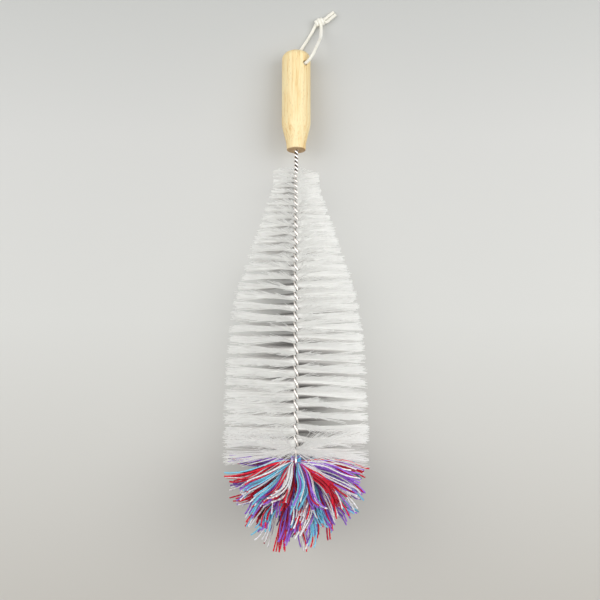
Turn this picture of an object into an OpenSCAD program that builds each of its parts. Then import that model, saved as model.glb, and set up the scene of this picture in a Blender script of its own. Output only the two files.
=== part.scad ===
// Bottle brush with a wooden handle, a twisted wire stem, clear bristles and a mop of yarn at its tip.
// It lies on its side, as it comes to rest, on its bristles and on the butt of its handle.
// The part's frame has +Z up, +Y towards the handle and +X to the right.
// Pieces on the wire are drawn in the brush frame, whose +Z runs from the butt of the handle to the yarn.

/* [Handle] */
// Length of the handle
handle_len = 67.5; // [55:0.5:110]
// Diameter of the grip
handle_d = 19; // [17:0.5:26]
// Radius of the shoulder at the butt
butt_round = 4.7; // [2:0.1:6]
// Diameter of the nose where it meets the taper
nose_d = 13; // [10:0.1:15]
// Diameter of the nose at its face
face_d = 12.4; // [9:0.1:14]
// Length of the nose
nose_len = 5; // [3:0.5:8]
// Length of the taper from the nose to the grip
taper_len = 12; // [8:0.5:18]
// Radius that rounds the grip into the taper
grip_round = 22; // [12:1:40]
// Radius of the edge round the face
face_round = 0.5; // [0.2:0.1:1.2]
// Wood left between the bore for the wire and the cord hole
bore_wood = 12; // [5:0.5:20]
// Clearance round the wire in its bore
bore_gap = 0.05; // [0.02:0.01:0.2]
// Gap between the handle and the surface that it lies on
rest_gap = 0.05; // [0:0.01:0.2]
// Diameter of the hole for the cord
cord_hole_d = 3.6; // [2.6:0.1:5]
// Distance from the butt to the cord hole
cord_hole_at = 10; // [8:0.5:16]
// Lean of the cord hole from upright, in degrees
cord_hole_lean = 40; // [30:1:50]

/* [Wire] */
// Diameter of the steel wire
wire_d = 1.4; // [1:0.05:1.8]
// Length of bare wire between the handle and the bristles
bare_len = 15; // [8:0.5:40]
// Gap between the two legs of the bare wire
leg_gap = 0.1; // [0.06:0.01:0.2]
// Pitch of the bare twist
bare_pitch = 5.6; // [5:0.1:8]
// Pitch that the twist opens to in the body of the brush
body_pitch = 14.9; // [11:0.1:20]
// Length over which the twist opens
pitch_growth = 53; // [30:1:80]
// Length from the end of the twist to the middle of the eye
eye_neck = 5; // [4.6:0.1:8]

/* [Bristles] */
// Length of the wire that holds bristles
strip_len = 180; // [150:1:240]
// Diameter of the bristles at the neck
neck_d = 30.6; // [20:0.5:40]
// Length of the neck
neck_len = 10; // [5:0.5:20]
// Length of the cone from the neck to the shoulder
cone_len = 62; // [40:1:80]
// Diameter where the cone starts to round into the body
shoulder_d = 72; // [60:1:76]
// Diameter of the body
body_d = 91; // [84:1:110]
// Thickness of the layer of filaments between the legs of the wire
layer_t = 0.3; // [0.2:0.02:0.4]
// Gap between the layer and each leg
layer_gap = 0.17; // [0.12:0.01:0.2]
// Thickness of a row of bristles at the tips of the body
row_t = 2.8; // [1:0.1:3.4]
// How far the tips of a row waver along the brush
row_wave = 1; // [0:0.1:1.4]
// How far the weight presses the bristles in at the belly
press = 6; // [3:0.5:9]
// Distance from the first bristles to the belly that the brush lies on
belly_at = 120; // [100:1:140]

/* [Yarn] */
// Length of the mop from the middle of the eye to its tip
yarn_len = 52.5; // [35:0.5:70]
// Reach of the mop to each side
yarn_side = 41; // [30:0.5:50]
// Reach of the mop upwards and downwards
yarn_rise = 37; // [25:0.5:42]
// Diameter of the pinched yarn in the eye
waist_d = 6; // [5:0.1:7]
// Gap between the pinched yarn and what surrounds it
waist_gap = 0.15; // [0.12:0.01:0.3]
// Thickness of a lock of yarn
lock_d = 4.4; // [2:0.1:5]
// Number of locks
lock_count = 64; // [32:4:72]
// Angle between the tip of the brush and its outermost locks, in degrees
spread = 92; // [80:1:93]
// How far the outer locks droop
droop = 5; // [0:0.5:8]
// How far the locks sway to the side
sway = 3; // [0:0.5:5]

/* [Cord] */
// Diameter of the cord
cord_d = 2.1; // [1.6:0.1:2.4]

/* [Hidden] */
$fn = 96;
lathe_fn = 32;
eps = 0.01;

// Stations along the brush, from the butt of the handle
strip_start = handle_len + bare_len;
hub = strip_start + strip_len + eye_neck;
total_len = hub + yarn_len;

// Radii of the stem
wire_r = wire_d / 2;
bare_spread = wire_r + leg_gap / 2;
clamp_spread = wire_r + layer_gap + layer_t / 2;
stem_r = bare_spread + wire_r;
clamp_r = wire_r / 2;

// Twist: the pitch opens from the bare pitch towards the body pitch, and the number of turns in the
// bristles is rounded to a half turn, so that the last row lies across the eye
pitch_rise = body_pitch - bare_pitch;
function open_turns(u) = pitch_growth / body_pitch
    * ln((body_pitch * exp(u / pitch_growth) - pitch_rise) / bare_pitch);
strip_turns = round(2 * open_turns(strip_len)) / 2;
twist_fit = strip_turns / open_turns(strip_len);
function station(turn) = let (raw = turn / twist_fit) turn < 0
    ? raw * bare_pitch
    : pitch_growth * ln((pitch_rise + bare_pitch * exp(raw * body_pitch / pitch_growth)) / body_pitch);
function pitch(u) = (u < 0 ? bare_pitch : body_pitch - pitch_rise * exp(-u / pitch_growth)) / twist_fit;
function row_angle(turn) = 360 * (turn - strip_turns);
function row_dir(turn) = [cos(row_angle(turn)), -sin(row_angle(turn)), 0];
function leg_dir(turn) = [sin(row_angle(turn)), cos(row_angle(turn)), 0];

// Outline of the bristles: a straight neck, a cone, and a body that it rounds into at the same slope
neck_r = neck_d / 2;
shoulder_r = shoulder_d / 2;
body_r = body_d / 2;
cone_slope = (shoulder_r - neck_r) / cone_len;
body_round = (body_r - shoulder_r) / cone_slope;
function bristle_r(u) = u < neck_len ? neck_r
    : u < neck_len + cone_len ? neck_r + cone_slope * (u - neck_len)
    : body_r - (body_r - shoulder_r) * exp((neck_len + cone_len - u) / body_round);

// How it lies: on the shoulder of the butt and on the belly, which its weight presses in
rest_h = handle_d / 2 + rest_gap;
belly_h = bristle_r(belly_at) - press;
tilt = asin((belly_h - rest_h) / (strip_start + belly_at - butt_round));
butt_h = rest_h - butt_round * sin(tilt);
butt_y = total_len * cos(tilt) / 2;
floor_gap = 0.65;
function floor_drop(s) = (butt_h + s * sin(tilt)) / cos(tilt) - floor_gap;

// Steps of the swept shapes
wire_steps = 8;
wire_sides = 6;
row_steps = 18;
row_waves = 3.3;
wave_shift = 130;
row_lean = 0.045;
end_fade = 15;
lock_sides = 5;
cord_sides = 8;
ring_steps = 14;

// Eye of the wire
waist_r = waist_d / 2;
eye_r = waist_r + waist_gap + wire_r;
eye_from = atan(clamp_spread / eye_neck) + acos(eye_r / norm([clamp_spread, eye_neck]));

// Bore of the handle, and the ends of the wire in it
bore_r = stem_r + bore_gap;
bore_depth = handle_len - cord_hole_at - cord_hole_d / 2 - bore_wood;
tang_gap = 0.5;
tang_turned = 2;
tang_turn = -(bare_len + tang_turned) * twist_fit / bare_pitch;
clamp_turns = 0.3;

// Locks of yarn: the eye parts their roots, and each lock widens from its root to its full thickness
golden = 180 * (3 - sqrt(5));
eye_part = 0.42;
part_fade = 7;
root_share = 0.115;
root_inset = 0.6;
sway_wave = 360 / 70;
uneven = 0.05;
lock_stops = [0, 0.05, 0.15, 0.36, 0.7, 1];
tip_share = 0.75;

// Route of the cord: from the knot over the butt, down through the hole, and back under the handle
cord_route = [
    [16.8, 178.7, 3.3], [16.9, 176.7, 3.6], [16.7, 173, 5.1], [16.3, 169.8, 7.4], [15.6, 167.1, 10.3],
    [14.8, 164.4, 13.2], [13.8, 161.6, 15.9], [12.6, 158.4, 17.9], [11.1, 154.9, 19], [10, 153.2, 19],
    [8.9, 151.5, 18.8], [7.5, 150.3, 18], [6, 149.5, 16.9], [3.1, 148.7, 14.1], [-0.7, 148, 9.5],
    [-3.3, 147.6, 6.5], [-4.7, 147.5, 4.9], [-6.15, 147.6, 3.5], [-7.45, 148.6, 2.35], [-8.2, 150.4, 1.6],
    [-8.4, 152.3, 1.2], [-8, 154.3, 1.1], [-7, 156, 1.1], [-4, 158.6, 1.1], [-0.5, 160.6, 1.1],
    [2.7, 163, 1.1], [5, 166.3, 1.1], [7.2, 169.6, 1.1], [10.3, 174.7, 1.2], [12.2, 178.2, 1.8],
];
knot_at = [16.2, 181.9, 2.75];
knot_heading = 12;
knot_len = 8;
knot_core_r = 1.9;
knot_ring_at = 1.5;
knot_ring_r = 1.2;
knot_rings = 3;
tail_routes = [
    [[21.2, 182.2, 2.6], [23, 183.9, 2.4], [24.9, 185.6, 1.9], [26.8, 187.2, 1.5]],
    [[20.4, 184.6, 2.6], [21.7, 186, 2.2], [23.4, 187.4, 1.7], [25.4, 189, 1.4]],
];

// Unit vector along v
function unit(v) = v / norm(v);

// Direction of a path at its point i
function heading(path, i) = unit(path[min(i + 1, len(path) - 1)] - path[max(i - 1, 0)]);

// What is left of v across the direction t, as a unit vector
function across(v, t) = unit(v - (v * t) * t);

// One direction across the path at each of its points, carried along without turning
function carried(path, start) = [
    for (i = 0, n = across(start, heading(path, 0)); i < len(path);
        i = i + 1, n = i < len(path) ? across(n, heading(path, i)) : n) n
];

// Faces of a tube with the given number of rings and sides, closed at both ends
function tube_faces(rings, sides) = concat(
    [[for (j = [0 : sides - 1]) j]],
    [[for (j = [sides - 1 : -1 : 0]) (rings - 1) * sides + j]],
    [for (i = [0 : rings - 2], j = [0 : sides - 1], half = [0, 1])
        let (a = i * sides + j, b = i * sides + (j + 1) % sides)
        half == 0 ? [a, a + sides, b] : [b, a + sides, b + sides]]
);

// A tube along a path, with one radius for each point
module tube(path, radii, sides, start) {
    normals = carried(path, start);
    points = [for (i = [0 : len(path) - 1])
        let (n = normals[i], b = cross(heading(path, i), n))
        for (j = [0 : sides - 1]) let (a = 360 * j / sides) path[i] + radii[i] * (cos(a) * n + sin(a) * b)];
    polyhedron(points, tube_faces(len(path), sides));
}

// Lays what is drawn in the brush frame on its side in the part's frame
module lie_down() {
    translate([0, butt_y, butt_h]) rotate([90 - tilt, 0, 0]) children();
}

// Half section of the handle, with its length along +Y
module handle_profile() {
    grip_r = handle_d / 2;
    nose_r = nose_d / 2;
    face_r = face_d / 2;
    flat_r = grip_r - butt_round;
    taper_end = handle_len - nose_len;
    grip_end = taper_end - taper_len;
    turn = atan((grip_r - nose_r) / taper_len);
    blend = grip_round * tan(turn / 2);
    square([flat_r, grip_end]);
    translate([flat_r, butt_round]) circle(butt_round);
    translate([0, butt_round]) square([grip_r, grip_end - blend - butt_round]);
    intersection() {
        translate([grip_r - grip_round, grip_end - blend]) circle(grip_round);
        translate([0, grip_end - blend]) square([grip_r, blend * (1 + cos(turn))]);
    }
    polygon([[0, grip_end - blend], [grip_r - blend * sin(turn), grip_end + blend * cos(turn)],
        [nose_r, taper_end], [face_r, handle_len - face_round], [0, handle_len - face_round]]);
    square([face_r - face_round, handle_len]);
    translate([face_r - face_round, handle_len - face_round]) circle(face_round, $fn = lathe_fn);
}

module handle() {
    bore_end = handle_len - bore_depth;
    point_len = bore_r / 2;
    color("burlywood") lie_down() difference() {
        rotate_extrude() intersection() {
            handle_profile();
            square([handle_d, handle_len]);
        }
        translate([0, 0, bore_end]) cylinder(h = bore_depth + eps, r = bore_r);
        translate([0, 0, bore_end - point_len]) cylinder(h = point_len, r1 = 0, r2 = bore_r);
        translate([0, 0, cord_hole_at]) rotate([-90, 0, -cord_hole_lean])
            cylinder(h = 2 * handle_d, d = cord_hole_d, center = true);
    }
}

// Distance of each leg from the axis: the legs part where the bristles start
function leg_spread(turn) =
    bare_spread + (clamp_spread - bare_spread) * min(1, max(0, 1 + turn / clamp_turns));

// One leg of the wire, from the bottom of the bore to the end of the twist, on the given side
function leg_path(side) =
    let (steps = ceil((strip_turns - tang_turn) * wire_steps))
    concat(
        [[0, 0, handle_len - bore_depth + tang_gap] + side * bare_spread * leg_dir(tang_turn)],
        [for (i = [0 : steps])
            let (turn = tang_turn + (strip_turns - tang_turn) * i / steps)
            [0, 0, strip_start + station(turn)] + side * leg_spread(turn) * leg_dir(turn)]
    );

// The loop of the eye, from the end of one leg round the yarn to the end of the other
function eye_path() = [for (i = [0 : ring_steps])
    let (a = eye_from + (360 - 2 * eye_from) * i / ring_steps)
    [0, eye_r * sin(a), hub - eye_r * cos(a)]];

function reversed(list) = [for (i = [len(list) - 1 : -1 : 0]) list[i]];

module wire_stem() {
    path = concat(leg_path(1), eye_path(), reversed(leg_path(-1)));
    color("silver") lie_down() tube(path, [for (p = path) wire_r], wire_sides, [1, 0, 0]);
}

// Half thickness of a row at the distance r from the axis: it is clamped between the legs, then fans out
function row_half(r) = (layer_t + (row_t - layer_t) * (r - clamp_r) / (body_r - clamp_r)) / 2;

// How far a row wavers along the brush at the distance r from the axis, on the positive or negative side
function waver(turn, r) = row_wave * (abs(r) - clamp_r) / (body_r - clamp_r)
    * sin(360 * row_waves * turn + (r < 0 ? wave_shift : 0));

// The rows lean towards the yarn above the wire and towards the handle below it, less so at the last rows
function leaned(u, d, r) = row_lean * min(1, (strip_len - u) / end_fade)
    * d[1] * sign(r) * (abs(r) - clamp_r);

// Length of the bristles towards the direction d, cut off by the surface that the brush lies on
function tip_at(u, d) = d[1] < 0 ? min(bristle_r(u), floor_drop(strip_start + u) / -d[1]) : bristle_r(u);

// Points across one filament layer: its upper face from tip to tip, then its lower face back
function row_section(turn) =
    let (u = station(turn), d = row_dir(turn), lean = 2 * PI / pitch(u),
        reach = [-tip_at(u, -d), -clamp_r, clamp_r, tip_at(u, d)])
    [for (face = [1, -1], i = [0 : 3])
        let (r = reach[face > 0 ? i : 3 - i],
            n = unit(leg_dir(turn) + [0, 0, r * lean]))
        [0, 0, strip_start + u + waver(turn, r) + leaned(u, d, r)] + r * d + face * row_half(abs(r)) * n];

module bristles() {
    steps = strip_turns * row_steps;
    last = steps * 8;
    points = [for (i = [0 : steps]) for (p = row_section(strip_turns * i / steps)) p];
    ends = [for (k = [0 : 2]) [k, k + 1, 6 - k, 7 - k]];
    sides = [for (i = [0 : steps - 1], k = [0 : 7], half = [0, 1])
        let (a = i * 8 + k, b = i * 8 + (k + 1) % 8, mirrored = k > 3)
        mirrored ? (half == 0 ? [a, b, b + 8] : [a, b + 8, a + 8])
            : (half == 0 ? [a, b, a + 8] : [b, b + 8, a + 8])];
    end_faces = concat(
        [for (q = ends) for (t = [[q[0], q[2], q[1]], [q[0], q[3], q[2]]]) t],
        [for (q = ends) for (t = [[q[0], q[1], q[2]], [q[0], q[2], q[3]]]) [for (v = t) v + last]]
    );
    color("whitesmoke") lie_down() polyhedron(points, concat(sides, end_faces));
}

// Direction of lock i, spread evenly over the cap round the tip of the brush
function lock_dir(i) =
    let (z = 1 - (1 - cos(spread)) * (i + 0.5) / lock_count)
    [sqrt(1 - z * z) * cos(i * golden), sqrt(1 - z * z) * sin(i * golden), z];

// The same direction at the distance r from the hub, parted by the eye near the root
function parted(d, r) =
    let (k = eye_part * exp((waist_r - r) / part_fade),
        x = sign(d[0]) * (k + (1 - k) * abs(d[0])),
        rest = sqrt((1 - x * x) / (1 - d[0] * d[0])))
    [x, d[1] * rest, d[2] * rest];

// Length of lock i, so that the tips lie near an ellipsoid
function lock_len(i) =
    let (d = lock_dir(i))
    (1 - uneven * (i % 3) / 2) / norm([d[0] / yarn_side, d[1] / yarn_rise, d[2] / yarn_len]);

// Droop and sway move a point only by where it lies along the other axes, so locks never cross
function relaxed(p) =
    let (x = p[0] + sway * sin(p[2] * sway_wave) * p[2] / yarn_len)
    [x, p[1] - droop * (x * x + p[2] * p[2]) / (yarn_len * yarn_len), p[2] + hub];

module lock(i) {
    first = waist_r + waist_gap;
    far = lock_len(i);
    spots = [for (f = lock_stops) first + (far - first) * f];
    path = [for (r = spots) relaxed(r * parted(lock_dir(i), r))];
    last = len(spots) - 1;
    radii = [for (k = [0 : last])
        min(lock_d / 2, root_share * (spots[k] - root_inset)) * (k == last ? tip_share : 1)];
    tube(path, radii, lock_sides, [0.3, 0.8, 0.1]);
}

// Locks of one of the four colours
module locks(colour_no) {
    lie_down() for (i = [0 : lock_count - 1]) if ((i + floor(i / 8)) % 4 == colour_no) lock(i);
}

module yarn_waist() {
    color("lavender") lie_down() translate([0, 0, hub]) sphere(waist_r, $fn = lathe_fn);
}

module yarn_white() {
    color("white") locks(0);
}

module yarn_red() {
    color("crimson") locks(1);
}

module yarn_violet() {
    color("mediumpurple") locks(2);
}

module yarn_blue() {
    color("skyblue") locks(3);
}

module hang_cord() {
    color("white") tube(cord_route, [for (p = cord_route) cord_d / 2], cord_sides, [0, 0, 1]);
}

// The overhand knot in its outer shape: the rings of the wrapped cord round its core
module cord_knot() {
    pitch_of_rings = knot_len / (knot_rings + 1);
    color("white") translate(knot_at) rotate([0, 90, knot_heading]) rotate_extrude($fn = lathe_fn) {
        translate([0, -knot_len / 2]) square([knot_core_r, knot_len]);
        for (i = [1 : knot_rings])
            translate([knot_ring_at, i * pitch_of_rings - knot_len / 2]) circle(knot_ring_r);
    }
}

module cord_tails() {
    color("white") for (route = tail_routes) tube(route, [for (p = route) cord_d / 2], cord_sides, [0, 0, 1]);
}

handle();
wire_stem();
bristles();
yarn_waist();
yarn_white();
yarn_red();
yarn_violet();
yarn_blue();
hang_cord();
cord_knot();
cord_tails();
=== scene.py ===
"""Bottle brush with a wooden handle, a twisted wire stem, clear bristles and a mop of yarn at its tip."""
import math

import bpy
import numpy as np
from mathutils import Matrix, Vector


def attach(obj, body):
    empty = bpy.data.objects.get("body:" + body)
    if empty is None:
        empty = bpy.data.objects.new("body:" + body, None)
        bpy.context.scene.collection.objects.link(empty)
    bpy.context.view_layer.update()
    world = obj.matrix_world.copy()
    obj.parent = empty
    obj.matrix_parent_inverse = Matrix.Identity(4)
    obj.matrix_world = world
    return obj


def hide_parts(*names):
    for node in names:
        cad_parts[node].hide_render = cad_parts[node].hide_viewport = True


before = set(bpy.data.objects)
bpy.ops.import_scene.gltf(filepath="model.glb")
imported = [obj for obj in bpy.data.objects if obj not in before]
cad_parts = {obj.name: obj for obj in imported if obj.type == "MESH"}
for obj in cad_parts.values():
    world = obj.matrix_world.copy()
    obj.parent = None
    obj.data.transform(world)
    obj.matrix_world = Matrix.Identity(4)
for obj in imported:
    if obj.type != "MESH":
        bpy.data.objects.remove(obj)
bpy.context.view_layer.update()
MM = 0.001

# Camera: it hangs half a metre above the surface and looks straight down,
# with the handle at the top of the picture and the brush a little to its left.
overhead_lens = bpy.data.cameras.new("overhead")
overhead_lens.sensor_width = 36
overhead_lens.lens = 45
overhead = bpy.data.objects.new("overhead", overhead_lens)
overhead.location = (0.0025, -0.0069, 0.512)
bpy.context.scene.collection.objects.link(overhead)
bpy.context.scene.camera = overhead

# Hanging cord: a braided cotton cord, 2.1 mm thick. It runs from the knot over the butt, down through
# the hole in the handle and back beside the butt to the knot, as one loop that carries the brush on a hook.
CORD_D = 2.1 * MM
CORD_STEP = 0.22 * MM
CORD_SIDES = 24
CORD_ROUTE = [
    (16.8, 178.7, 3.3), (16.9, 176.7, 3.6), (16.7, 173, 5.1), (16.3, 169.8, 7.4), (15.6, 167.1, 10.3),
    (14.8, 164.4, 13.2), (13.8, 161.6, 15.9), (12.6, 158.4, 17.9), (11.1, 154.9, 19), (10, 153.2, 19),
    (8.9, 151.5, 18.8), (7.5, 150.3, 18), (6, 149.5, 16.9), (3.1, 148.7, 14.1), (-0.7, 148, 9.5),
    (-3.3, 147.6, 6.5), (-4.7, 147.5, 4.9), (-6.15, 147.6, 3.5), (-7.45, 148.6, 2.35), (-8.2, 150.4, 1.6),
    (-8.4, 152.3, 1.2), (-8, 154.3, 1.1), (-7, 156, 1.1), (-4, 158.6, 1.1), (-0.5, 160.6, 1.1),
    (2.7, 163, 1.1), (5, 166.3, 1.1), (7.2, 169.6, 1.1), (10.3, 174.7, 1.2), (12.2, 178.2, 1.8),
]
# The braid: its strands, its pitch, the height of its relief, and the level of the cord's own surface in it
BRAID_STRANDS = 8
BRAID_PITCH = 5.2 * MM
BRAID_HEIGHT = 0.07
BRAID_MIDDLE = 0.7
# A smooth line has this many points between two of its route, and a tube's end rises by this much of a step
SPAN_POINTS = 24
TUBE_DOME = 0.35


def linear(red, green, blue):
    """A colour as it is seen on a screen, 0 to 255, as the shader wants it."""
    shares = [c / 255 for c in (red, green, blue)]
    return tuple(c / 12.92 if c < 0.04 else ((c + 0.055) / 1.055) ** 2.4 for c in shares)


def smooth_line(points, step):
    """A smooth curve through the points, with its own points a step apart."""
    p = np.array(points, float)
    p = np.vstack([2 * p[0] - p[1], p, 2 * p[-1] - p[-2]])
    t = np.linspace(0, 1, SPAN_POINTS, endpoint=False)[:, None]
    fine = []
    for a, b, c, d in zip(p[:-3], p[1:-2], p[2:-1], p[3:]):
        square, cube = 2 * a - 5 * b + 4 * c - d, 3 * b - a - 3 * c + d
        fine.append(b + 0.5 * ((c - a) * t + square * t**2 + cube * t**3))
    fine = np.vstack([*fine, p[-2:-1]])
    along = np.concatenate([[0], np.cumsum(np.linalg.norm(np.diff(fine, axis=0), axis=1))])
    spots = np.linspace(0, along[-1], int(round(along[-1] / step)) + 1)
    return np.stack([np.interp(spots, along, fine[:, k]) for k in range(3)], 1)


def swept_tubes(name, paths, radius, sides, relief=None):
    """One mesh of closed tubes along the paths. radius is one number or a list with one for each path, and
    relief(along, around) raises the surface by a share of it. The UV map holds around and along."""
    points, faces, uvs = [], [], []
    start = 0
    for n, path in enumerate(paths):
        path = np.asarray(path, float)
        size = np.broadcast_to(radius[n] if isinstance(radius, list) else radius, len(path))
        tangent = np.gradient(path, axis=0)
        tangent /= np.linalg.norm(tangent, axis=1)[:, None]
        along = np.concatenate([[0], np.cumsum(np.linalg.norm(np.diff(path, axis=0), axis=1))])
        side = np.cross(tangent[0], (0.31, 0.27, 0.91))
        around = np.arange(sides) * 2 * math.pi / sides
        for i, t in enumerate(tangent):
            side = side - side.dot(t) * t
            side /= np.linalg.norm(side)
            up = np.cross(t, side)
            lift = size[i] * (1 + (relief(along[i], around) if relief else np.zeros(sides)))
            ring = path[i] + lift[:, None] * (np.cos(around)[:, None] * side + np.sin(around)[:, None] * up)
            points.extend(ring.tolist())
        rings = len(path)
        for i in range(rings - 1):
            a = start + i * sides
            for j in range(sides):
                k = (j + 1) % sides
                faces.append((a + j, a + k, a + sides + k, a + sides + j))
                u = (j / sides, (j + 1) / sides)
                uvs.extend([(u[0], along[i]), (u[1], along[i]), (u[1], along[i + 1]), (u[0], along[i + 1])])
        for end, ring, order in ((0, start, -1), (rings - 1, start + (rings - 1) * sides, 1)):
            points.append((path[end] + (path[end] - path[end - order]) * TUBE_DOME).tolist())
            tip = len(points) - 1
            for j in range(sides):
                k = (j + 1) % sides
                faces.append((tip, ring + j, ring + k) if order == 1 else (tip, ring + k, ring + j))
                uvs.extend([(j / sides, along[end])] * 3)
        start = len(points)
    mesh = bpy.data.meshes.new(name)
    mesh.from_pydata(points, [], faces)
    layer = mesh.uv_layers.new(name="UVMap")
    layer.data.foreach_set("uv", np.array(uvs, np.float32).ravel())
    mesh.shade_smooth()
    made = bpy.data.objects.new(name, mesh)
    bpy.context.scene.collection.objects.link(made)
    return made


class Value:
    """A number or colour in a node tree. Sums and products of values add the Math nodes for them."""

    def __init__(self, tree, socket):
        self.tree = tree
        self.socket = socket

    def math(self, operation, *others):
        return added(self.tree, "ShaderNodeMath", [self, *others], operation=operation)

    def __add__(self, other):
        return self.math("ADD", other)

    def __sub__(self, other):
        return self.math("SUBTRACT", other)

    def __mul__(self, other):
        return self.math("MULTIPLY", other)

    def __truediv__(self, other):
        return self.math("DIVIDE", other)

    def __rsub__(self, other):
        return added(self.tree, "ShaderNodeMath", [other, self], operation="SUBTRACT")

    __radd__ = __add__
    __rmul__ = __mul__


def added(tree, kind, inputs=(), out=0, **settings):
    """Adds one node with its settings and its inputs, by place or by name, and returns one output of it."""
    node = tree.nodes.new(kind)
    for name, value in settings.items():
        setattr(node, name, value)
    pairs = inputs.items() if isinstance(inputs, dict) else enumerate(inputs)
    for slot, value in pairs:
        if isinstance(value, Value):
            tree.links.new(value.socket, node.inputs[slot])
        else:
            node.inputs[slot].default_value = value
    return Value(tree, node.outputs[out])


def new_material(name):
    """An empty material and its node tree."""
    material = bpy.data.materials.new(name)
    material.use_nodes = True
    material.node_tree.nodes.clear()
    return material, material.node_tree


def colour_ramp(tree, factor, stops):
    """A colour between the stops, each a place from 0 to 1 and a colour."""
    ramp = added(tree, "ShaderNodeValToRGB", {"Fac": factor})
    bar = ramp.socket.node.color_ramp
    while len(bar.elements) < len(stops):
        bar.elements.new(0.5)
    for element, (place, colour) in zip(bar.elements, stops):
        element.position = place
        element.color = (*colour, 1)
    return ramp


def shown_with(tree, shader):
    """The shader is what shows of the material."""
    output = tree.nodes.new("ShaderNodeOutputMaterial")
    tree.links.new(shader.socket, output.inputs["Surface"])


def gives_out(tree, label, value):
    """The value is what the group or tree gives out under that label."""
    tree.links.new(value.socket, tree.nodes.new("NodeGroupOutput").inputs[label])


def spun_fibres_group():
    """Shader node group of spun thread: short fibres that break up its surface, as a height."""
    tree = bpy.data.node_groups.new("spun_fibres", "ShaderNodeTree")
    for label, kind in (("Place", "NodeSocketVector"), ("Fineness", "NodeSocketFloat")):
        tree.interface.new_socket(label, in_out="INPUT", socket_type=kind)
    tree.interface.new_socket("Height", in_out="OUTPUT", socket_type="NodeSocketFloat")
    entry = tree.nodes.new("NodeGroupInput")
    place, fineness = Value(tree, entry.outputs["Place"]), Value(tree, entry.outputs["Fineness"])
    hairs = added(tree, "ShaderNodeTexNoise", {"Vector": place, "Scale": fineness, "Detail": 4.0})
    tufts = added(tree, "ShaderNodeTexNoise", {"Vector": place, "Scale": fineness * 0.3, "Detail": 1.0})
    gives_out(tree, "Height", hairs * 0.8 + tufts * 0.2)
    return tree


spun_fibres = spun_fibres_group()


def cotton_material():
    """Cotton of the cord: off-white, with fine fibres along each strand of the braid."""
    material, tree = new_material("cord_cotton")
    place = added(tree, "ShaderNodeTexCoord", out="Object")
    fibres = added(tree, "ShaderNodeGroup", {"Place": place, "Fineness": 2600.0}, node_tree=spun_fibres)
    grime = added(tree, "ShaderNodeTexNoise", {"Vector": place, "Scale": 120.0, "Detail": 2.0})
    colour = colour_ramp(tree, grime, [(0.3, linear(243, 240, 226)), (0.7, linear(255, 253, 244))])
    bump = added(tree, "ShaderNodeBump", {"Height": fibres, "Strength": 0.5, "Distance": 0.0001})
    shader = added(tree, "ShaderNodeBsdfPrincipled", {
        "Base Color": colour, "Roughness": 0.85, "Normal": bump,
        "Sheen Weight": 0.3, "Sheen Roughness": 0.5,
    })
    shown_with(tree, shader)
    return material


def braid(along, around):
    """Relief of a round braid: two sets of strands that wind opposite ways and pass over each other."""
    wind = 2 * math.pi * along / BRAID_PITCH
    half = BRAID_STRANDS / 2
    over = np.maximum(np.cos(half * (around + wind)), np.cos(half * (around - wind)))
    return BRAID_HEIGHT * (over - BRAID_MIDDLE)


cotton = cotton_material()
cord_line = smooth_line(np.array(CORD_ROUTE) * MM, CORD_STEP)
hang_cord = swept_tubes("hang_cord_braid", [cord_line], CORD_D / 2, CORD_SIDES, braid)
hang_cord.data.materials.append(cotton)

# Knot of the cord: an overhand knot tied with both ends of the cord laid together, pulled tight,
# so that the doubled cord lies round itself in three slanting turns, which both legs of the loop enter.
KNOT_AT = Vector((16.2, 181.9, 2.75)) * MM
KNOT_HEADING = math.radians(12)
KNOT_LEN = 8 * MM
KNOT_TURNS = 3
KNOT_WRAP_R = 1.68 * MM
KNOT_WRAP_STEPS = 220
KNOT_WRAP_FROM = 0.6
KNOT_WRAP_FLAT = 0.94
KNOT_TUCK_PACE = 9
KNOT_TUCKED = 0.25
KNOT_CORE_R = 0.95 * MM
KNOT_SIDES = 20
KNOT_ENTRIES = [
    [(16.85, 178.1, 3.2), (16.8, 178.9, 3.3), (16.7, 180, 3.2), (16.3, 181.2, 2.9)],
    [(11.85, 177.6, 1.7), (12.3, 178.4, 1.85), (12.9, 179.6, 2.1), (13.9, 181, 2.6)],
]


def knot_wrap():
    """Centre line of the cord that is wound round the knot, tucked in at both ends."""
    t = np.linspace(0, 1, KNOT_WRAP_STEPS)
    turn = 2 * math.pi * KNOT_TURNS * t + KNOT_WRAP_FROM
    tuck = np.minimum(1, np.minimum(t, 1 - t) * KNOT_TUCK_PACE) ** 0.5
    reach = KNOT_WRAP_R * (KNOT_TUCKED + (1 - KNOT_TUCKED) * tuck)
    x = (t - 0.5) * (KNOT_LEN - CORD_D * 0.9)
    local = np.stack([x, reach * np.cos(turn), reach * np.sin(turn) * KNOT_WRAP_FLAT], 1)
    c, s = math.cos(KNOT_HEADING), math.sin(KNOT_HEADING)
    return local @ np.array([[c, s, 0], [-s, c, 0], [0, 0, 1]]) + np.array(KNOT_AT)


def knot_core():
    """Centre line of the cord inside the turns."""
    x = np.linspace(-0.44, 0.44, 20) * KNOT_LEN
    c, s = math.cos(KNOT_HEADING), math.sin(KNOT_HEADING)
    return np.stack([x * c, x * s, 0 * x], 1) + np.array(KNOT_AT)


entry_lines = [smooth_line(np.array(route) * MM, CORD_STEP) for route in KNOT_ENTRIES]
knot_radii = [CORD_D / 2 * 0.98, KNOT_CORE_R, CORD_D / 2 * 1.01, CORD_D / 2 * 1.01]
knot = swept_tubes("cord_knot_turns", [knot_wrap(), knot_core(), *entry_lines], knot_radii, KNOT_SIDES, braid)
knot.data.materials.append(cotton)
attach(knot, "root")
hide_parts("cord_knot")

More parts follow.
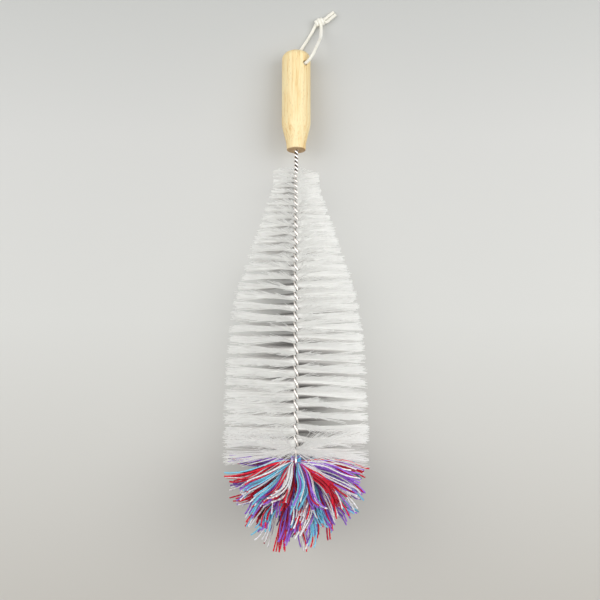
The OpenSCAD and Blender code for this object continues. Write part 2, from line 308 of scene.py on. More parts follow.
# Ends of the cord: the last centimetre of both ends of the same cotton braid. They stick out of the
# knot side by side and are cut off square.
TAILS = [
    [(19.4, 181.4, 2.7), (21.2, 182.2, 2.6), (23, 183.9, 2.4), (24.9, 185.6, 1.9), (26.8, 187.2, 1.5)],
    [(18.8, 183.6, 2.7), (20.4, 184.6, 2.6), (21.7, 186, 2.2), (23.4, 187.4, 1.7), (25.4, 189, 1.4)],
]

tail_lines = [smooth_line(np.array(route) * MM, CORD_STEP) for route in TAILS]
tails = swept_tubes("cord_tail_ends", tail_lines, CORD_D / 2, KNOT_SIDES, braid)
tails.data.materials.append(cotton)
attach(tails, "root")
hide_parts("cord_tails")

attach(hang_cord, "root")
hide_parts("hang_cord")

# Handle: turned beech with straight grain, sanded and left pale, bored for the wire at its nose and
# across for the cord at its butt. The grain runs along it, and its end shows darker on the flat nose.
HANDLE_LEN = 67.5 * MM
BUTT_Y = 158.367 * MM
BUTT_H = 8.88013 * MM
TILT = math.radians(8.19405)
LIE_DOWN = Matrix.Translation((0, BUTT_Y, BUTT_H)) @ Matrix.Rotation(math.pi / 2 - TILT, 4, "X")


def brush_place(tree):
    """The place on the surface in the brush's own frame, in which z runs from the butt to the yarn."""
    place = added(tree, "ShaderNodeTexCoord", out="Object")
    return added(tree, "ShaderNodeMapping", {
        "Vector": place, "Location": (0, BUTT_Y, BUTT_H), "Rotation": (math.pi / 2 - TILT, 0, 0),
    }, vector_type="TEXTURE")


def beech_material():
    """Beech: pale growth bands, fine streaks, short dark pores, and darker end grain."""
    material, tree = new_material("beech")
    along = brush_place(tree)
    stretched = added(tree, "ShaderNodeMapping", {"Vector": along, "Scale": (1, 1, 0.06)})
    wander = added(tree, "ShaderNodeTexNoise", {"Vector": stretched, "Scale": 120.0, "Detail": 2.0})
    bands = added(tree, "ShaderNodeTexNoise", {"Vector": stretched, "Scale": 420.0, "Detail": 3.0})
    streaks = added(tree, "ShaderNodeTexNoise", {"Vector": stretched, "Scale": 1700.0, "Detail": 3.0})
    tone = bands * 0.5 + streaks * 0.32 + wander * 0.18
    colour = colour_ramp(tree, tone, [
        (0.36, linear(226, 184, 120)), (0.46, linear(248, 220, 162)), (0.58, linear(254, 236, 186)),
    ])
    dashes = added(tree, "ShaderNodeMapping", {"Vector": along, "Scale": (1, 1, 0.13)})
    cells = added(tree, "ShaderNodeTexVoronoi", {"Vector": dashes, "Scale": 1500.0, "Randomness": 1.0})
    pores = added(tree, "ShaderNodeMapRange", [cells, 0.10, 0.22, 1.0, 0.0])
    depth = added(tree, "ShaderNodeSeparateXYZ", [along], out="Z")
    ends = added(tree, "ShaderNodeMapRange", [depth, HANDLE_LEN - 0.5 * MM, HANDLE_LEN - 0.1 * MM, 0.0, 1.0])
    grained = added(tree, "ShaderNodeMix", {"Factor": pores * 0.4, 6: colour, 7: (*linear(168, 120, 72), 1)},
                    out=2, data_type="RGBA")
    worn = added(tree, "ShaderNodeMix", {"Factor": ends * 0.62, 6: grained, 7: (*linear(150, 100, 62), 1)},
                 out=2, data_type="RGBA")
    bump = added(tree, "ShaderNodeBump", {
        "Height": streaks - pores * 0.8, "Strength": 0.25, "Distance": 0.0001,
    })
    rough = added(tree, "ShaderNodeMapRange", [streaks, 0.3, 0.7, 0.5, 0.68])
    shader = added(tree, "ShaderNodeBsdfPrincipled", {"Base Color": worn, "Roughness": rough, "Normal": bump})
    shown_with(tree, shader)
    return material


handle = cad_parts["handle"]
handle.data.materials.clear()
handle.data.materials.append(beech_material())

# Stem: one steel wire, 1.4 mm thick, folded at the eye and twisted on itself. The twist is tight in
# the bare part and in the bore of the handle, and opens along the bristles that it clamps.
WIRE_R = 0.7 * MM
WIRE_SIDES = 12
WIRE_STEPS = 26
LEGS_OPEN = 0.3
BARE_LEN = 15 * MM
STRIP_LEN = 180 * MM
EYE_NECK = 5 * MM
BARE_PITCH = 5.6 * MM
BODY_PITCH = 14.9 * MM
PITCH_GROWTH = 53 * MM
LAYER_T = 0.3 * MM
LAYER_GAP = 0.17 * MM
LEG_GAP = 0.1 * MM
STRIP_START = HANDLE_LEN + BARE_LEN
HUB = STRIP_START + STRIP_LEN + EYE_NECK
PITCH_RISE = BODY_PITCH - BARE_PITCH
EYE_R = 3.85 * MM
WIRE_END = 24.3 * MM


def open_turns(u):
    """Turns of the wire from the first bristles to the distance u beyond them."""
    grown = (BODY_PITCH * np.exp(u / PITCH_GROWTH) - PITCH_RISE) / BARE_PITCH
    return PITCH_GROWTH / BODY_PITCH * np.log(grown)


STRIP_TURNS = round(2 * float(open_turns(STRIP_LEN))) / 2
TWIST_FIT = STRIP_TURNS / float(open_turns(STRIP_LEN))


def station(turn):
    """Distance from the first bristles at which the wire has made that many turns."""
    raw = turn / TWIST_FIT
    opened = PITCH_GROWTH * np.log(
        (PITCH_RISE + BARE_PITCH * np.exp(np.maximum(raw, 0) * BODY_PITCH / PITCH_GROWTH)) / BODY_PITCH)
    return np.where(raw < 0, raw * BARE_PITCH, opened)


def leg_line(side):
    """Centre line of one leg: straight in the bore of the handle, then twisted to the eye."""
    first = -(BARE_LEN + 2 * MM) * TWIST_FIT / BARE_PITCH
    turn = np.linspace(first, STRIP_TURNS, int((STRIP_TURNS - first) * WIRE_STEPS))
    bare, clamped = WIRE_R + LEG_GAP / 2, WIRE_R + LAYER_GAP + LAYER_T / 2
    reach = bare + (clamped - bare) * np.clip(1 + turn / LEGS_OPEN, 0, 1)
    angle = 2 * math.pi * (turn - STRIP_TURNS)
    x, y = reach * np.sin(angle) * side, reach * np.cos(angle) * side
    line = np.stack([x, y, STRIP_START + station(turn)], 1)
    bore = np.linspace(WIRE_END, line[0, 2], 24, endpoint=False)
    return np.vstack([[[line[0, 0], line[0, 1], z] for z in bore], line])


def stem_line():
    """The whole wire: down one leg, round the eye, and back up the other."""
    clamped = WIRE_R + LAYER_GAP + LAYER_T / 2
    start = math.atan(clamped / EYE_NECK) + math.acos(EYE_R / math.hypot(clamped, EYE_NECK))
    angle = np.linspace(start, 2 * math.pi - start, 72)
    eye = np.stack([0 * angle, EYE_R * np.sin(angle), HUB - EYE_R * np.cos(angle)], 1)
    return np.vstack([leg_line(1), eye, leg_line(-1)[::-1]])


def steel_material():
    """Bright drawn wire with faint lines along it. Where its surface lies close to the stem's axis, in the
    groove between the twisted legs, it is painted nearly black as painted shade.
    """
    material, tree = new_material("drawn_steel")
    place = added(tree, "ShaderNodeUVMap", uv_map="UVMap")
    lines = added(tree, "ShaderNodeMapping", {"Vector": place, "Scale": (40, 300, 1)})
    drawn = added(tree, "ShaderNodeTexNoise", {"Vector": lines, "Scale": 1.0, "Detail": 3.0})
    bright = colour_ramp(tree, drawn, [(0.3, linear(236, 228, 222)), (0.7, linear(255, 252, 248))])
    # Painted shade: the surface within about 0.9 mm of the stem's axis, where the legs lie in each other's
    # groove, is painted nearly black and fades out by 1.25 mm.
    flat = added(tree, "ShaderNodeVectorMath", [brush_place(tree), (1.0, 1.0, 0.0)], operation="MULTIPLY")
    off_axis = added(tree, "ShaderNodeVectorMath", [flat], out="Value", operation="LENGTH")
    painted_groove_shade = added(tree, "ShaderNodeMapRange", [off_axis, 0.9 * MM, 1.25 * MM, 0.97, 0.0])
    colour = added(tree, "ShaderNodeMix", {"Factor": painted_groove_shade, 6: bright, 7: (*linear(28, 26, 24), 1)},
                   out=2, data_type="RGBA")
    rough = added(tree, "ShaderNodeMapRange", [drawn, 0.3, 0.7, 0.18, 0.3])
    bump = added(tree, "ShaderNodeBump", {"Height": drawn, "Strength": 0.15, "Distance": 0.00005})
    shader = added(tree, "ShaderNodeBsdfPrincipled", {
        "Base Color": colour, "Metallic": 1.0, "Roughness": rough, "Normal": bump,
    })
    shown_with(tree, shader)
    return material


wire = swept_tubes("wire_twist", [stem_line()], WIRE_R, WIRE_SIDES)
wire.data.transform(LIE_DOWN)
wire.data.materials.append(steel_material())
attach(wire, "root")
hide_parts("wire_stem")

# Bristles: clear nylon filaments, clamped across the twist of the wire, so that they stand round it in
# a double screw. They are trimmed to a neck, a cone and a body, and bend where the brush lies on them.
FILAMENT_D = 0.3 * MM
FILAMENT_POINTS = 5
NECK_R = 15.3 * MM
NECK_LEN = 10 * MM
SHOULDER_R = 36 * MM
CONE_LEN = 62 * MM
BODY_R = 45.5 * MM
CONE_SLOPE = (SHOULDER_R - NECK_R) / CONE_LEN
BODY_ROUND = (BODY_R - SHOULDER_R) / CONE_SLOPE
TRIM = (0.955, 1.015)
# Each part: where it starts and ends along the strip in mm, how many filaments it has, how many degrees
# they fan out, and the share of its last ones that stand back
BRISTLE_PARTS = [
    ("neck", 0, 60, 3000, 4.5, 0), ("body", 60, 120, 3400, 4.5, 0), ("end", 120, 180, 3400, 4.5, 0.16),
    ("star", 178, 180, 420, 80, 0.6),
]
# Form of the rows: their slope, their waves, the parting over the wire, and the last filaments
ROW_LEAN = 0.045
END_FADE = 15 * MM
PARTING = math.radians(8)
PARTING_FROM = 0.94
END_SPLAY = 4.5 * MM
SPLAY = 0.13
STAND_BACK = 4
ROW_WAVE = 1 * MM
ROW_WAVES = 3.3
WAVE_SHIFT = math.radians(130)
# Each filament on its own: the clump that it leans with, its lean, its bow, and its run along the surface
CLUMP = 16
LEAN = 0.034
TURN_BOW = 0.05
BOW = 0.03
FLOOR_ROOM = 1.5 * MM
RUN_ON = 0.92
LOWER_FROM = 0.12
SEED = 20


def random_in(tree, low, high, seed, index=None):
    """A random number for each point, or for each group of points that share an index."""
    inputs = {2: low, 3: high, 8: seed}
    if index is not None:
        inputs[7] = index
    return added(tree, "FunctionNodeRandomValue", inputs, out=1, data_type="FLOAT")


def kept_as(tree, points, name, value):
    """The points with the value kept on them under a name."""
    return added(tree, "GeometryNodeStoreNamedAttribute", {"Geometry": points, "Name": name, "Value": value},
                 data_type="FLOAT", domain="POINT")


def kept(tree, name):
    """The value that was kept under that name."""
    return added(tree, "GeometryNodeInputNamedAttribute", {"Name": name}, data_type="FLOAT")


def new_tree(name, sizes):
    """A Geometry Nodes tree with named inputs, and those inputs as values."""
    tree = bpy.data.node_groups.new(name, "GeometryNodeTree")
    tree.interface.new_socket("Geometry", in_out="INPUT", socket_type="NodeSocketGeometry")
    for label, kind in sizes:
        tree.interface.new_socket(label, in_out="INPUT", socket_type=kind)
    tree.interface.new_socket("Geometry", in_out="OUTPUT", socket_type="NodeSocketGeometry")
    entry = tree.nodes.new("NodeGroupInput")
    return tree, {label: Value(tree, entry.outputs[label]) for label, _ in [("Geometry", None), *sizes]}


def gives_out_mesh(tree, tubes, material):
    """The tubes as one mesh in that material are what the tree gives out."""
    solid = added(tree, "GeometryNodeRealizeInstances", {"Geometry": tubes})
    coated = added(tree, "GeometryNodeSetMaterial", {"Geometry": solid, "Material": material})
    gives_out(tree, "Geometry", coated)


def made_by(tree, name, sizes, start=None):
    """Runs a tree once with those sizes and keeps its result as a plain mesh, laid in the brush's place."""
    made = bpy.data.objects.new(name, start or bpy.data.meshes.new(name + "_start"))
    modifier = made.modifiers.new("maker", "NODES")
    modifier.node_group = tree
    for item in tree.interface.items_tree:
        if item.in_out == "INPUT" and item.name in sizes:
            modifier[item.identifier] = sizes[item.name]
    bpy.context.scene.collection.objects.link(made)
    bpy.context.view_layer.update()
    mesh = bpy.data.meshes.new_from_object(made.evaluated_get(bpy.context.evaluated_depsgraph_get()))
    made.modifiers.remove(modifier)
    made.data = mesh
    mesh.name = name
    mesh.transform(LIE_DOWN)
    return made


def nylon_material():
    """Clear nylon filament: it passes some of the light and shows white where many lie together. Filaments
    that point down are painted greyer as painted shade, less so towards their tips.
    """
    material, tree = new_material("clear_nylon")
    shade = added(tree, "ShaderNodeAttribute", attribute_name="shade", out="Fac")
    down = added(tree, "ShaderNodeAttribute", attribute_name="down", out="Fac")
    out = added(tree, "ShaderNodeAttribute", attribute_name="out", out="Fac")
    # Painted shade: the more a filament points down, the greyer it is painted, less so towards its tip. The
    # rest of the tone differs at random by clump and filament.
    colour = colour_ramp(tree, down * (0.95 - out * 0.6) + shade * (0.4 - out * 0.15), [
        (0.18, linear(255, 255, 252)), (0.32, linear(232, 230, 226)), (0.55, linear(204, 201, 198)),
        (0.9, linear(128, 125, 122)),
    ])
    straight = added(tree, "ShaderNodeLightPath", out="Is Shadow Ray") * 0.86
    scattered = added(tree, "ShaderNodeLightPath", out="Is Diffuse Ray") * 0.75
    shader = added(tree, "ShaderNodeBsdfPrincipled", {
        "Base Color": colour, "Roughness": 0.3, "Specular IOR Level": 1.0,
        "Alpha": 1.0 - straight - scattered,
    })
    shown_with(tree, shader)
    return material


def bristle_tree(nylon):
    """Rule of the bristles: each filament stands where the twist of the wire turns it."""
    tree, size = new_tree("bristle_maker", [
        ("Filaments", "NodeSocketInt"), ("From", "NodeSocketFloat"), ("To", "NodeSocketFloat"),
        ("Thickness", "NodeSocketFloat"), ("Fan", "NodeSocketFloat"), ("Lean", "NodeSocketFloat"),
        ("Back", "NodeSocketFloat"), ("Lower", "NodeSocketFloat"), ("Seed", "NodeSocketInt"),
    ])
    points = added(tree, "GeometryNodePoints", {"Count": size["Filaments"]})
    index = added(tree, "GeometryNodeInputIndex")
    seed = size["Seed"]
    spread = random_in(tree, 0.0, 1.0, seed)
    u = size["From"] + (size["To"] - size["From"]) * (index + spread) / size["Filaments"]
    grown = (u / PITCH_GROWTH).math("EXPONENT") * BODY_PITCH - PITCH_RISE
    turns = (grown / BARE_PITCH).math("LOGARITHM", math.e) * (TWIST_FIT * PITCH_GROWTH / BODY_PITCH)
    side = index.math("MODULO", 2.0)
    clump = (index / CLUMP).math("FLOOR") * 2 + side
    fan = random_in(tree, -1.0, 1.0, seed + 1) * 0.5 + random_in(tree, -1.0, 1.0, seed + 3, clump)
    angle = (turns - STRIP_TURNS + side * 0.5) * (2 * math.pi) + fan * size["Fan"]
    upright = (angle.math("SINE") * -1 - PARTING_FROM).math("MAXIMUM", 0.0) / (1 - PARTING_FROM)
    angle = angle + upright * angle.math("COSINE").math("SIGN") * PARTING
    wave = (turns * (2 * math.pi * ROW_WAVES) + side * WAVE_SHIFT).math("SINE") * (ROW_WAVE / BODY_R)
    # Filaments of a clump lean together, and each a little on its own
    lean = random_in(tree, -1.0, 1.0, seed + 4) + random_in(tree, -1.0, 1.0, seed + 5, clump)
    neck = (u - NECK_LEN).math("MAXIMUM", 0.0)
    cone = neck.math("MINIMUM", CONE_LEN) * CONE_SLOPE + NECK_R
    past = (neck - CONE_LEN).math("MAXIMUM", 0.0)
    belly = 1 - (past / -BODY_ROUND).math("EXPONENT")
    reach = (cone + belly * (BODY_R - SHOULDER_R)) * random_in(tree, *TRIM, seed + 6)
    points = kept_as(tree, points, "u", u)
    points = kept_as(tree, points, "angle", angle)
    points = kept_as(tree, points, "reach", reach)
    # The last filaments lean on over the yarn, and some of them stand back as a star round the eye
    back = random_in(tree, 0.0, 1.0, seed + 11).math("LESS_THAN", size["Back"])
    splay = added(tree, "ShaderNodeMapRange", [u, STRIP_LEN - END_SPLAY, STRIP_LEN, 0.0, SPLAY])
    splay = splay * (1 - back * STAND_BACK)
    points = kept_as(tree, points, "lean", lean * size["Lean"] + wave + splay * (lean * 0.3 + 0.8))
    points = kept_as(tree, points, "bend", random_in(tree, -1.0, 1.0, seed + 7))
    shade = random_in(tree, 0.0, 1.0, seed + 8) * 0.5 + random_in(tree, 0.0, 1.0, seed + 10, clump) * 0.5
    points = kept_as(tree, points, "shade", shade)
    points = kept_as(tree, points, "offset", random_in(tree, -0.5, 0.5, seed + 9))
    # How far each filament points down. The nylon uses it to paint the lower filaments grey as painted shade.
    points = kept_as(tree, points, "down", angle.math("SINE").math("MAXIMUM", 0.0))
    other = (angle.math("SINE").math("GREATER_THAN", LOWER_FROM) - size["Lower"]).math("ABSOLUTE")
    points = added(tree, "GeometryNodeDeleteGeometry", {"Geometry": points, "Selection": other},
                   domain="POINT")
    line = added(tree, "GeometryNodeCurvePrimitiveLine", {"End": (0, 0, 1)})
    line = added(tree, "GeometryNodeResampleCurve", {"Curve": line, "Count": FILAMENT_POINTS})
    placed = added(tree, "GeometryNodeInstanceOnPoints", {"Points": points, "Instance": line})
    curves = added(tree, "GeometryNodeRealizeInstances", {"Geometry": placed})
    t = added(tree, "GeometryNodeSplineParameter")
    curves = kept_as(tree, curves, "out", t)
    u, angle, reach = kept(tree, "u"), kept(tree, "angle"), kept(tree, "reach")
    lean, bend, offset = kept(tree, "lean"), kept(tree, "bend"), kept(tree, "offset")
    s = u + STRIP_START
    angle = angle + bend * t * TURN_BOW
    c, n = angle.math("COSINE"), angle.math("SINE")
    r = reach * t
    # A filament that meets the surface runs on along it to the side
    room = (BUTT_H + s * math.sin(TILT)) / math.cos(TILT) - FLOOR_ROOM
    down = n.math("MAXIMUM", 0.001)
    hit = (room / down).math("MINIMUM", r)
    rest = r - hit
    x = hit * c + offset * n * LAYER_T + rest * c.math("SIGN") * RUN_ON
    y = (hit * n * -1) + offset * c * LAYER_T
    whole = ((STRIP_LEN - u) / END_FADE).math("MINIMUM", 1.0)
    z = s + r * lean + r * t * bend * BOW + y * whole * ROW_LEAN
    spot = added(tree, "ShaderNodeCombineXYZ", [x, y, z])
    curves = added(tree, "GeometryNodeSetPosition", {"Geometry": curves, "Position": spot})
    ring = added(tree, "GeometryNodeCurvePrimitiveCircle", {
        "Resolution": 3, "Radius": size["Thickness"] * 0.5,
    })
    tubes = added(tree, "GeometryNodeCurveToMesh", {
        "Curve": curves, "Profile Curve": ring, "Fill Caps": True,
    })
    gives_out_mesh(tree, tubes, nylon)
    return tree


nylon = nylon_material()
bristle_maker = bristle_tree(nylon)
for number, (part, first, last, count, fan, back) in enumerate(BRISTLE_PARTS):
    for layer, lower in (("upper", 0.0), ("lower", 1.0)):
        tuft = made_by(bristle_maker, "bristles_%s_%s" % (part, layer), {
            "Filaments": count, "From": first * MM, "To": last * MM, "Thickness": FILAMENT_D,
            "Fan": math.radians(fan), "Lean": LEAN, "Back": float(back), "Lower": lower,
            "Seed": SEED + 40 * number,
        })
        # Clear filaments let most of the light through: only the lower ones below the neck throw a shadow
        tuft.visible_shadow = layer == "lower" and part != "neck"
        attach(tuft, "root")
        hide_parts("bristles")

# Yarn: four colours of two-ply yarn, cut to about one length, laid through the eye of the wire and pinched in
# it, so that the ends stand out on both sides and fan over the tip of the brush as a mop.
YARN_R = 0.56 * MM
PLY_PITCH = 6 * MM
PLY_START = 6.0
# The mop as a whole: its reach, its locks, and how it parts at the eye, hangs and sways
MOP_REACH = np.array([43.5, 37, 54]) * MM
LOCKS = 64
LOCK_SPREAD = math.radians(92)
GOLDEN = math.pi * (3 - math.sqrt(5))
WAIST_R = 3 * MM
EYE_PART = 0.42
PART_FADE = 7 * MM
DROOP = 5 * MM
SWAY = 3 * MM
SWAY_LEN = 70 * MM
FORWARD = 0.55
# One lock: its strands lie side by side, sway together and each a little on its own, and part at their ends
STRANDS = 11
STRAND_STEP = 1.05 * MM
STRAND_LEN = (0.86, 1.05)
LOCK_R = 2 * MM
LOCK_OPENS_BY = 16 * MM
LOCK_SWAY = 3.3 * MM
OWN_SWAY = 1.3 * MM
FULL_THICK_BY = 9 * MM
# Colours of the yarn, each at its dark end and at its light end. The dark end stands partly for deep dye and
# partly for painted shade on the strands of the mop's lower side. Most strands of a lock have the lock's own
# colour, some are white, and the rest are drawn from the others.
YARN_COLOURS = [
    ("white", (190, 178, 208), (255, 255, 255)),
    ("red", (48, 0, 12), (240, 16, 56)),
    ("violet", (18, 4, 58), (178, 116, 240)),
    ("blue", (8, 48, 104), (136, 224, 252)),
]
OWN_COLOUR = 0.56
OWN_OR_WHITE = 0.72
OTHER_COLOURS = [1, 2, 2, 1, 3]


def lock_direction(i):
    """Direction of a lock, spread evenly over the cap round the tip of the brush."""
    z = 1 - (1 - math.cos(LOCK_SPREAD)) * (i + 0.5) / LOCKS
    flat = math.sqrt(1 - z * z)
    return np.array([flat * math.cos(i * GOLDEN), flat * math.sin(i * GOLDEN), z])


def lock_strands(direction, number, rng):
    """Centre lines of the lengths of yarn in one lock, from the eye outwards, in the brush's own frame. They
    run side by side, sway together, and part a little towards their cut ends."""
    whole = 1 / np.linalg.norm(direction / MOP_REACH)
    across = np.cross(direction, (0.31, 0.87, 0.39) if abs(direction[1]) < 0.8 else (0.9, 0.1, 0.4))
    across /= np.linalg.norm(across)
    other = np.cross(direction, across)
    sway = [(rng.uniform(0.6, 1) * LOCK_SWAY, rng.uniform(38, 60) * MM, rng.random()) for _ in range(2)]
    lines = []
    for k in range(number):
        far = whole * rng.uniform(*STRAND_LEN)
        r = np.linspace(0.5 * WAIST_R, far, int(far / STRAND_STEP))
        part = EYE_PART * np.exp((WAIST_R - r) / PART_FADE)
        x = np.sign(direction[0]) * (part + (1 - part) * abs(direction[0]))
        rest = np.sqrt((1 - x * x) / (1 - direction[0] ** 2))
        p = np.stack([x, direction[1] * rest, direction[2] * rest], 1) * r[:, None]
        share = r / whole
        turn, off = k * GOLDEN, LOCK_R * math.sqrt((k + 0.5) / number)
        open_up = off * (np.minimum(1, 0.15 + r / LOCK_OPENS_BY) + 0.9 * share**2)
        for axis, amount in ((across, math.cos(turn)), (other, math.sin(turn))):
            height, length, phase = sway[0] if axis is across else sway[1]
            own_height, own_len = rng.uniform(-1, 1) * OWN_SWAY, rng.uniform(22, 40) * MM
            own = own_height * np.sin(2 * math.pi * (r / own_len + rng.random()))
            drift = height * np.sin(2 * math.pi * (r / length + phase)) * share + own * share
            p = p + (open_up * amount + drift)[:, None] * axis
        p[:, 2] += r * FORWARD * max(direction[1], 0) * (1 - direction[2])
        p[:, 0] += SWAY * np.sin(p[:, 2] * 2 * math.pi / SWAY_LEN) * p[:, 2] / MOP_REACH[2]
        p[:, 1] -= DROOP * (p[:, 0] ** 2 + p[:, 2] ** 2) / MOP_REACH[2] ** 2
        p[:, 2] += HUB
        lines.append((p, np.minimum(1, 0.25 + 0.75 * (r - WAIST_R) / FULL_THICK_BY)))
    return lines


def guide_mesh(name, strands):
    """The centre lines of many strands as one mesh of edges, each with its strand's thickness and shade."""
    points, edges, sizes, shades = [], [], [], []
    for line, thick, shade in strands:
        first = len(points)
        points.extend(line.tolist())
        edges.extend((first + k, first + k + 1) for k in range(len(line) - 1))
        sizes.extend(thick.tolist())
        shades.extend([shade] * len(line))
    mesh = bpy.data.meshes.new(name)
    mesh.from_pydata(points, edges, [])
    for label, values in (("thick", sizes), ("shade", shades)):
        mesh.attributes.new(label, "FLOAT", "POINT").data.foreach_set("value", np.array(values, np.float32))
    return mesh


def yarn_material(name, deep_dye_and_shade, light):
    """Dyed yarn: the dye varies from strand to strand and along it, strands on the lower side of the mop are
    darker as painted shade, and the fibres break its surface.
    """
    material, tree = new_material("yarn_" + name)
    place = added(tree, "ShaderNodeTexCoord", out="Object")
    fibres = added(tree, "ShaderNodeGroup", {"Place": place, "Fineness": 2200.0}, node_tree=spun_fibres)
    cloudy = added(tree, "ShaderNodeTexNoise", {"Vector": place, "Scale": 130.0, "Detail": 2.0})
    shade = added(tree, "ShaderNodeAttribute", attribute_name="shade", out="Fac")
    tone = shade * 0.7 + cloudy * 0.15 + fibres * 0.15
    dyed = colour_ramp(tree, tone, [(0.3, linear(*deep_dye_and_shade)), (0.68, linear(*light))])
    bump = added(tree, "ShaderNodeBump", {"Height": fibres, "Strength": 0.6, "Distance": 0.00015})
    shader = added(tree, "ShaderNodeBsdfPrincipled", {
        "Base Color": dyed, "Roughness": 0.75, "Normal": bump, "Sheen Weight": 0.12, "Sheen Roughness": 0.4,
    })
    shown_with(tree, shader)
    return material


def yarn_tree():
    """Rule of the yarn: an oval, as its two plies make it, twisted along a guide line."""
    tree, size = new_tree("yarn_maker", [
        ("Radius", "NodeSocketFloat"), ("Ply pitch", "NodeSocketFloat"), ("Material", "NodeSocketMaterial"),
    ])
    curves = added(tree, "GeometryNodeMeshToCurve", {"Mesh": size["Geometry"]})
    along = added(tree, "GeometryNodeSplineParameter", out="Length")
    shade = kept(tree, "shade")
    curves = added(tree, "GeometryNodeSetCurveTilt", {
        "Curve": curves, "Tilt": along * (2 * math.pi) / size["Ply pitch"] + shade * PLY_START,
    })
    curves = added(tree, "GeometryNodeSetCurveRadius", {"Curve": curves, "Radius": kept(tree, "thick")})
    ring = added(tree, "GeometryNodeCurvePrimitiveCircle", {"Resolution": 7, "Radius": 1.0})
    place = added(tree, "GeometryNodeInputPosition")
    shape = added(tree, "ShaderNodeVectorMath", [place, (1.0, 0.8, 1.0)], operation="MULTIPLY")
    shape = added(tree, "ShaderNodeVectorMath", {0: shape, "Scale": size["Radius"]}, operation="SCALE")
    ring = added(tree, "GeometryNodeSetPosition", {"Geometry": ring, "Position": shape})
    tubes = added(tree, "GeometryNodeCurveToMesh", {
        "Curve": curves, "Profile Curve": ring, "Scale": kept(tree, "thick"), "Fill Caps": True,
    })
    gives_out_mesh(tree, tubes, size["Material"])
    return tree


yarn_maker = yarn_tree()
rng = np.random.default_rng(7)
mop = {name: [] for name, _, _ in YARN_COLOURS}
for i in range(LOCKS):
    colour_no = (i + i // 8) % 4
    # Painted shade: a strand's shade is half from how far its lock points up, so that strands on the lower
    # side are painted darker, and half random dye.
    painted_light_share = float(np.clip(1 + lock_direction(i)[1] * 1.6, 0, 1))
    for line, thick in lock_strands(lock_direction(i), STRANDS, rng):
        draw = rng.random()
        other_no = 0 if draw < OWN_OR_WHITE else int(rng.choice(OTHER_COLOURS))
        dyed = YARN_COLOURS[colour_no if draw < OWN_COLOUR else other_no][0]
        mop[dyed].append((line, thick, 0.5 * painted_light_share + 0.5 * float(rng.random())))
for name, deep_dye_and_shade, light in YARN_COLOURS:
    skein = made_by(yarn_maker, "yarn_strands_" + name, {
        "Radius": YARN_R, "Ply pitch": PLY_PITCH, "Material": yarn_material(name, deep_dye_and_shade, light),
    }, guide_mesh("guides_" + name, mop[name]))
    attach(skein, "root")
    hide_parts("yarn_" + name)

# Pinched yarn: where the bundle passes through the eye, the strands of all colours are pressed into a
# tight round waist that fills the loop of the wire.
WAIST_HALF = 3.1 * MM
WAIST_STRAND_R = 0.62 * MM
WAIST_STRAND_APART = 1.18 * MM
WAIST_SWELL = 0.25
waist_lines = []
for ring, number in ((0, 1), (1, 6), (2, 12)):
    for k in range(number):
        turn = 2 * math.pi * k / number + 0.3 * ring
        y, z = WAIST_STRAND_APART * ring * math.cos(turn), WAIST_STRAND_APART * ring * math.sin(turn)
        x = np.linspace(-WAIST_HALF, WAIST_HALF, 9)
        swell = 1 + WAIST_SWELL * (x / WAIST_HALF) ** 2
        waist_lines.append(np.stack([x, y * swell, HUB + z * swell], 1))
waist = swept_tubes("yarn_in_eye", waist_lines, WAIST_STRAND_R, 8)
waist.data.transform(LIE_DOWN)


def mixed_yarn_material():
    """The four colours side by side in the eye."""
    material, tree = new_material("yarn_mixed")
    place = added(tree, "ShaderNodeTexCoord", out="Object")
    cells = added(tree, "ShaderNodeTexVoronoi", {"Vector": place, "Scale": 700.0}, out="Color")
    pick = added(tree, "ShaderNodeSeparateXYZ", [cells])
    colour = colour_ramp(tree, pick, [
        (0.0, linear(238, 232, 236)), (0.3, linear(132, 110, 200)), (0.6, linear(176, 32, 64)),
        (0.85, linear(96, 192, 224)),
    ])
    fibres = added(tree, "ShaderNodeGroup", {"Place": place, "Fineness": 2200.0}, node_tree=spun_fibres)
    bump = added(tree, "ShaderNodeBump", {"Height": fibres, "Strength": 0.6, "Distance": 0.00015})
    shader = added(tree, "ShaderNodeBsdfPrincipled", {"Base Color": colour, "Roughness": 0.9, "Normal": bump})
    shown_with(tree, shader)
    return material


waist.data.materials.append(mixed_yarn_material())
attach(waist, "root")
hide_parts("yarn_waist")
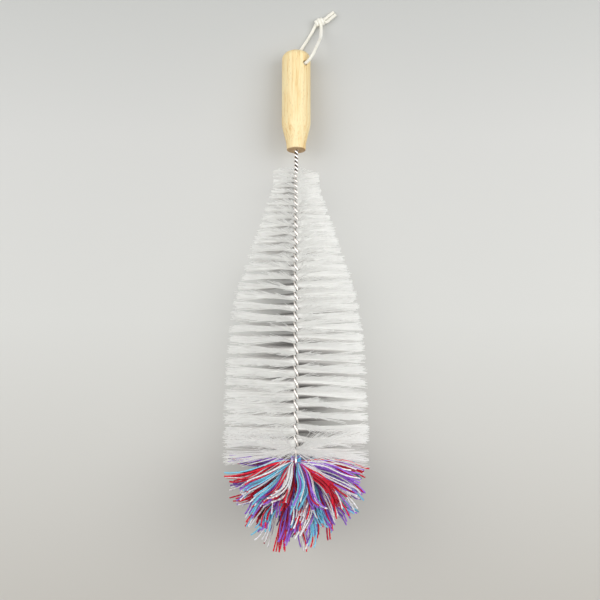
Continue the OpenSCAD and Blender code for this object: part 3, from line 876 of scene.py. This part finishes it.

# Surface and light: a pale grey table, painted lighter across the middle and darker towards both ends as
# painted light, an even sky, and large soft lamps above and at both sides.
# They are not part of the brush.
TABLE_SHADE_REACH = 0.21
floor_mesh = bpy.data.meshes.new("table_top")
floor_mesh.from_pydata([(-2, -2, 0), (2, -2, 0), (2, 2, 0), (-2, 2, 0)], [], [(0, 1, 2, 3)])
floor = bpy.data.objects.new("table_top", floor_mesh)
bpy.context.scene.collection.objects.link(floor)
floor_grey, tree = new_material("pale_grey_table")
place = added(tree, "ShaderNodeTexCoord", out="Object")
height = added(tree, "ShaderNodeSeparateXYZ", [place], out="Y")
rise = added(tree, "ShaderNodeMapRange", [height, -TABLE_SHADE_REACH, TABLE_SHADE_REACH, 0.0, 1.0])
# Painted light: the table's grey is lighter across the middle and darker towards both ends along y.
tone = colour_ramp(tree, rise, [
    (0.0, linear(201, 198, 191)), (0.45, linear(214, 214, 210)), (0.75, linear(209, 209, 206)),
    (1.0, linear(195, 196, 193)),
])
matt = added(tree, "ShaderNodeBsdfPrincipled", {"Base Color": tone, "Roughness": 0.8})
shown_with(tree, matt)
floor_mesh.materials.append(floor_grey)

# The sky gives less light than it shows, so that it looks pale behind the brush and in the steel
SKY_LIGHT = 0.23
SKY_SHOWN = 0.57
sky = bpy.data.worlds.new("even_sky")
sky.use_nodes = True
tree = sky.node_tree
backdrop = tree.nodes["Background"]
backdrop.inputs["Color"].default_value = (1, 1, 1, 1)
looked_at = added(tree, "ShaderNodeLightPath", out="Is Camera Ray")
mirrored = added(tree, "ShaderNodeLightPath", out="Is Glossy Ray")
through = added(tree, "ShaderNodeLightPath", out="Is Transmission Ray")
strength = (looked_at + mirrored + through).math("MINIMUM", 1.0) * SKY_SHOWN + SKY_LIGHT
tree.links.new(strength.socket, backdrop.inputs["Strength"])
bpy.context.scene.world = sky

# Each lamp: where it hangs and how wide it is in metres, and its watts
LAMPS = [
    ("right", (0.6, 0.15, 0.6), 0.7, 3.5), ("left", (-0.6, 0.15, 0.6), 0.7, 3.0),
    ("above", (0, 0, 1.5), 2, 8.9),
]
for side, spot, across, watts in LAMPS:
    softbox_light = bpy.data.lights.new("softbox_" + side, "AREA")
    softbox_light.shape = "DISK"
    softbox_light.size = across
    softbox_light.energy = watts
    softbox = bpy.data.objects.new("softbox_" + side, softbox_light)
    softbox.location = spot
    softbox.rotation_mode = "QUATERNION"
    softbox.rotation_quaternion = softbox.location.to_track_quat("Z", "Y")
    bpy.context.scene.collection.objects.link(softbox)

bpy.context.scene.view_settings.view_transform = "Standard"
